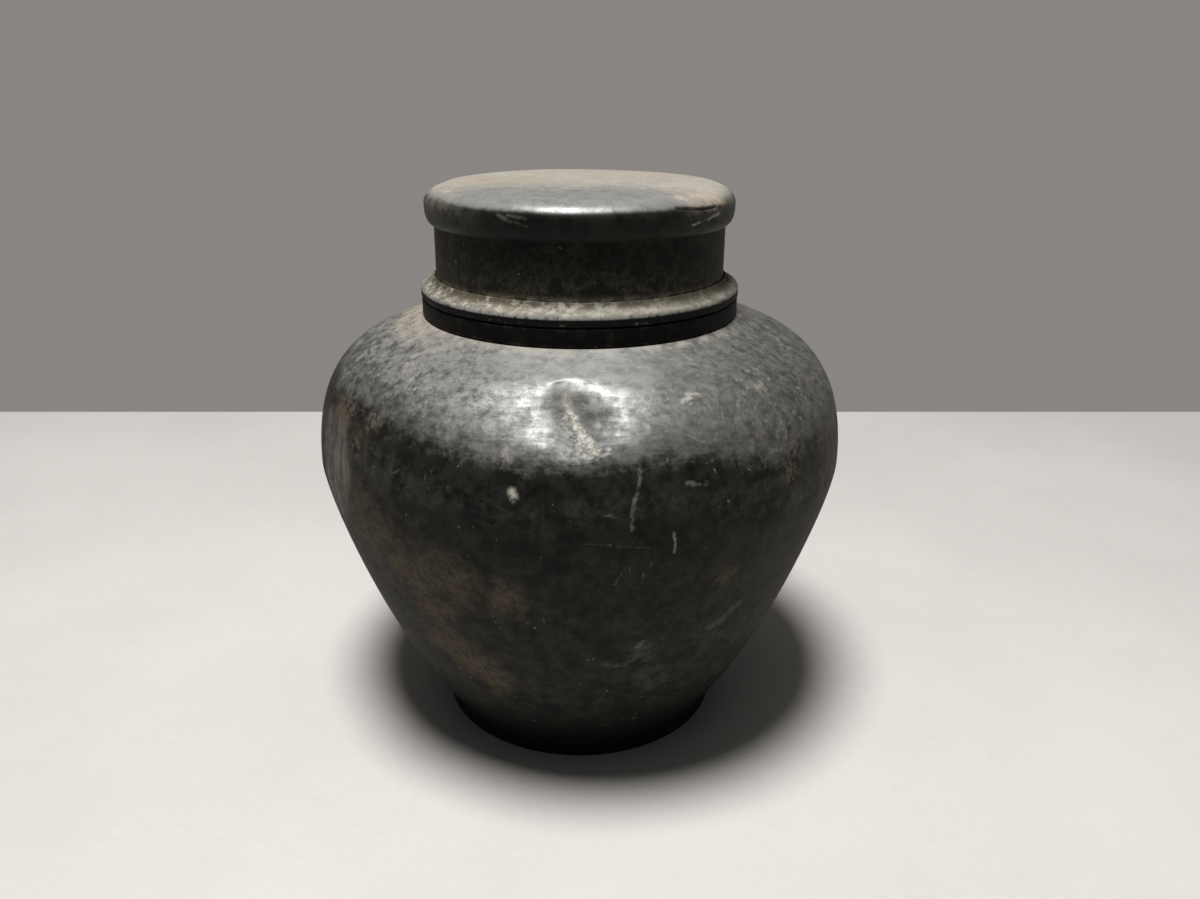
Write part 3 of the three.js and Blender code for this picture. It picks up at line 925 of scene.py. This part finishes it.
def capWallFinish(heights):
    material, place = startFinish("capWallTin")
    x, _, z = place.axes()
    _, mottle, speck, grain = tinGround(place)
    fine = mottle * 0.6 + speck * 0.4
    blotch = (mottle * 0.7 + speck * 0.3).rise(0.44, 0.6)
    colour = blotch.over(tin["soot"], tin["charcoal"])
    low = (z + mottle.sway(0.024)).rise(*heights["haze"])
    # the grime tone low on the wall is dust; at the left and right ends it is a painted reflection
    ends = x.calc("ABSOLUTE").rise(0.022, 0.039) * 0.6
    haze = low.most(ends) * blotch.atLeast(0.1) * 0.42
    colour = haze.over(colour, tin["grime"])
    dust = (z + fine.sway(0.006)).rise(*heights["dust"]) * fine.rise(0.32, 0.54) * 0.8
    colour = dust.over(colour, mottle.rise(0.4, 0.62).over(tin["grime"], tin["tan"]))
    fleck = place.noise(520.0, 2.0, 0.5).rise(0.72, 0.78) * 0.35
    colour = fleck.over(colour, tin["chalk"])
    rough = 0.46 + mottle * 0.14 + haze * 0.3 + dust * 0.4
    rings = place.drawnOut((60.0, 60.0, 1900.0), 2.0, 0.5)
    closeFinish(place, 0.12, colour, rough, 0.0, relief(place, 0.04, rings, 0.008, grain))
    return material


capLipHeights = {"ledge": (0.1253, 0.1259), "dust": (0.1254, 0.1264), "dirt": (0.1266, 0.128),
                 "edge": (0.1257, 0.0005), "chips": (0.124, 0.0007)}


def capLipFinish(heights):
    material, place = startFinish("capLipTin")
    x, _, z = place.axes()
    cloud, mottle, speck, grain = tinGround(place)
    fine = mottle * 0.5 + speck * 0.5
    colour = mottle.rise(0.54, 0.84).over(tin["soot"], tin["charcoal"])
    ledge = (z + fine.sway(0.0012)).rise(*heights["ledge"])
    colour = ledge.over(colour, tin["tarnish"])
    ends = x.calc("ABSOLUTE").rise(0.012, 0.038)
    dust = ledge * (z + fine.sway(0.002)).rise(*heights["dust"])
    dust = dust * (speck * 0.6 + grain * 0.4).rise(0.38, 0.62).atLeast(0.42)
    dust = dust * (1 - ends * mottle.rise(0.34, 0.62) * 0.8)
    colour = dust.over(colour, (mottle * 0.6 + speck * 0.4).rise(0.42, 0.6).over(tin["dust"], tin["grit"]))
    dirt = (z + fine.sway(0.0026) + ends * 0.0005).rise(*heights["dirt"]) * 0.9
    colour = dirt.over(colour, tin["grime"])
    crumbs = ledge * place.noise(420.0, 4.0, 0.65).rise(0.47, 0.66)
    crumbs = crumbs * x.rise(0.03, -0.015).atLeast(0.25) * 0.75
    colour = crumbs.over(colour, tin["crumb"])
    # the lip's rounded edge: worn tin, partly wear and partly a painted highlight, strongest on the left
    edge = z.near(*heights["edge"]) * fine.rise(0.38, 0.52) * x.rise(0.026, -0.012).atLeast(0.35)
    colour = edge.over(colour, tin["worn"])
    chips = z.near(*heights["chips"]) * fine.rise(0.52, 0.62) * cloud.rise(0.44, 0.58) * 0.3
    colour = chips.over(colour, tin["chalk"])
    rough = 0.5 + mottle * 0.12 - edge * 0.16 + dust * 0.4 + dirt * 0.2 + chips * 0.2
    height = speck * 0.012 + grain * 0.005 + dust * speck * 0.12 + crumbs * 0.06
    closeFinish(place, 0.12, colour, rough, edge * 0.75, height)
    return material


capMarks = [
    ([(41.4, 145.4), (49, 146.3), (56, 147.2)], 1.3, 0.9),
    ([(44, 147), (50, 147.6)], 0.8, 0.4),
    ([(-28, 148.9), (-23, 147.4)], 1.6, 0.22),
    ([(-24, 148.9), (-18, 148.3)], 1.4, 0.22),
    ([(-22, 147.4), (-17, 146.6)], 1.1, 0.16),
    ([(-67, 151.6), (-61, 151.9)], 2, 0.7),
    ([(120, 148), (128, 149)], 0.9, 0.4),
]
pinkSpots = [(43, 151.5, 5), (50, 151.2, 6), (59, 151, 6)]
capTopHeights = {"top": (0.1494, 0.1506), "dust": (0.1496, 0.1516), "grime": (0.1425, 0.1495),
                 "pinkDust": (0.1486, 0.1496), "worn": (0.1505, 0.0014)}


def capTopFinish(heights):
    material, place = startFinish("capTopTin")
    x, y, z = place.axes()
    cloud, mottle, speck, grain = tinGround(place)
    fine = mottle * 0.6 + speck * 0.4
    blotch = (mottle * 0.7 + grain * 0.3).rise(0.42, 0.6)
    trembling = place.ragged(800.0, 0.001)
    smear = place.drawnOut((70.0, 420.0, 60.0), 5.0, 0.65, 0.2)
    colour = (cloud * 0.4 + mottle * 0.6).rise(0.42, 0.66).over(tin["soot"], tin["charcoal"])
    top = (z + fine.sway(0.0014)).rise(*heights["top"])
    grey = top * (fine * 0.7 + grain * 0.3).rise(0.34, 0.66).atLeast(0.55)
    colour = grey.over(colour, tin["pewter"])
    # dust lies at the back, and comes forward at the sides
    reachIn = y + smear.sway(0.018) + fine.sway(0.022)
    reachIn = reachIn + x.rise(0.01, 0.034) * 0.02 + x.rise(-0.02, -0.036) * 0.012
    dust = (z + fine.sway(0.0016)).rise(*heights["dust"]) * reachIn.rise(-0.024, 0.006)
    dust = dust * (smear * 0.5 + fine * 0.5).rise(0.38, 0.58).atLeast(0.55)
    colour = dust.over(colour, (smear * 0.5 + cloud * 0.5).rise(0.42, 0.62).over(tin["dust"], tin["tan"]))
    ends = x.calc("ABSOLUTE").rise(0.02, 0.04)
    grime = z.rise(*heights["grime"]) * ends * blotch.atLeast(0.3) * 0.75
    colour = (grime * (1 - dust)).over(colour, tin["rimGrime"])
    pinkDust = patchMask(place.ragged(300.0, 0.005), pinkSpots, capLine)
    pinkDust = pinkDust * blotch.atLeast(0.4) * z.rise(*heights["pinkDust"])
    colour = pinkDust.over(colour, tin["pinkDust"])
    # the worn line along the top's corner: partly wear, partly a painted highlight, kept off the sides and
    # the dusty back
    worn = z.near(*heights["worn"]) * blotch.atLeast(0.6) * (1 - dust.most(ends))
    colour = (worn * 0.5).over(colour, tin["worn"])
    inGash = pathMask(trembling, gashPath(), 1.1) * 0.9
    colour = inGash.over(colour, tin["soot"])
    chalk = marksMask(trembling, capMarks, capLine, fine.rise(0.4, 0.54).atLeast(0.4))
    colour = chalk.over(colour, tin["chalk"])
    rough = 0.38 + mottle * 0.1 - worn * 0.08 + dust * 0.45 + grime * 0.2 + inGash * 0.3
    height = relief(place, 0.035, speck, 0.01, grain) + dust * speck * 0.08
    closeFinish(place, 0.15, colour, rough, worn * 0.6, height)
    return material


def dullTinFinish():
    material, place = startFinish("dullTin")
    cloud, mottle, speck, grain = tinGround(place)
    rings = place.drawnOut((20.0, 20.0, 2200.0), 3.0, 0.6)
    colour = (cloud * 0.6 + mottle * 0.4).rise(0.36, 0.62).over(tin["tarnish"], tin["bare"])
    spots = (mottle * 0.5 + speck * 0.5).rise(0.6, 0.72) * 0.7
    colour = spots.over(colour, tin["charcoal"])
    rough = 0.4 + mottle * 0.2 + spots * 0.1
    closeFinish(place, 0.5, colour, rough, 0.75 - spots * 0.5, mottle * 0.03 + grain * 0.006 + rings * 0.012)
    return material


def solderFinish():
    material, place = startFinish("softSolder")
    _, mottle, speck, grain = tinGround(place)
    colour = (mottle * 0.6 + speck * 0.4).rise(0.36, 0.62).over(tin["tarnish"], tin["solderGrey"])
    closeFinish(place, 0.5, colour, 0.42 + mottle * 0.2, 0.7, mottle * 0.1 + speck * 0.04 + grain * 0.006)
    return material


bodyTin = bodyFinish(bodyHeights, bodyPatches)
collarTin = bandFinish("collarTin")
footTin = bandFinish("footTin")
dullTin = dullTinFinish()
softSolder = solderFinish()
print("finishes mixed:", len(bpy.data.materials))

makePiece("foot_ring", ringPiece("foot_ring"), [footTin], "jar")
makePiece("base_plate", basePlate(baseForm), [dullTin], "jar")
makePiece("lower_shell", lowerShell(jarShell), [bodyTin, dullTin], "jar")
makePiece("upper_shell", upperShell(jarShell), [bodyTin, dullTin], "jar")
makePiece("neck_tube", ringPiece("neck_tube"), [dullTin], "jar")
makePiece("neck_collar", neckCollar(collarForm), [collarTin], "jar")
print("jar done")

makePiece("stopper_plate", stopperPlate(plateForm), [dullTin], "stopper")
makePiece("stopper_skirt", ringPiece("stopper_skirt"), [dullTin], "stopper")
makePiece("stopper_knob", stopperKnob(knobForm), [dullTin], "stopper")
print("stopper done")

makePiece("cap_wall", capWall(), [capWallFinish(capWallHeights), dullTin], "cap")
makePiece("cap_lip", capLip(capLipForm), [capLipFinish(capLipHeights)], "cap")
makePiece("cap_top", capTop(capTopForm), [capTopFinish(capTopHeights), dullTin], "cap")
print("cap done")

for node, (carrier, _, _) in solderRuns.items():
    makePiece(node, solderRun(node, solderForm), [softSolder], carrier)
print("solder run")
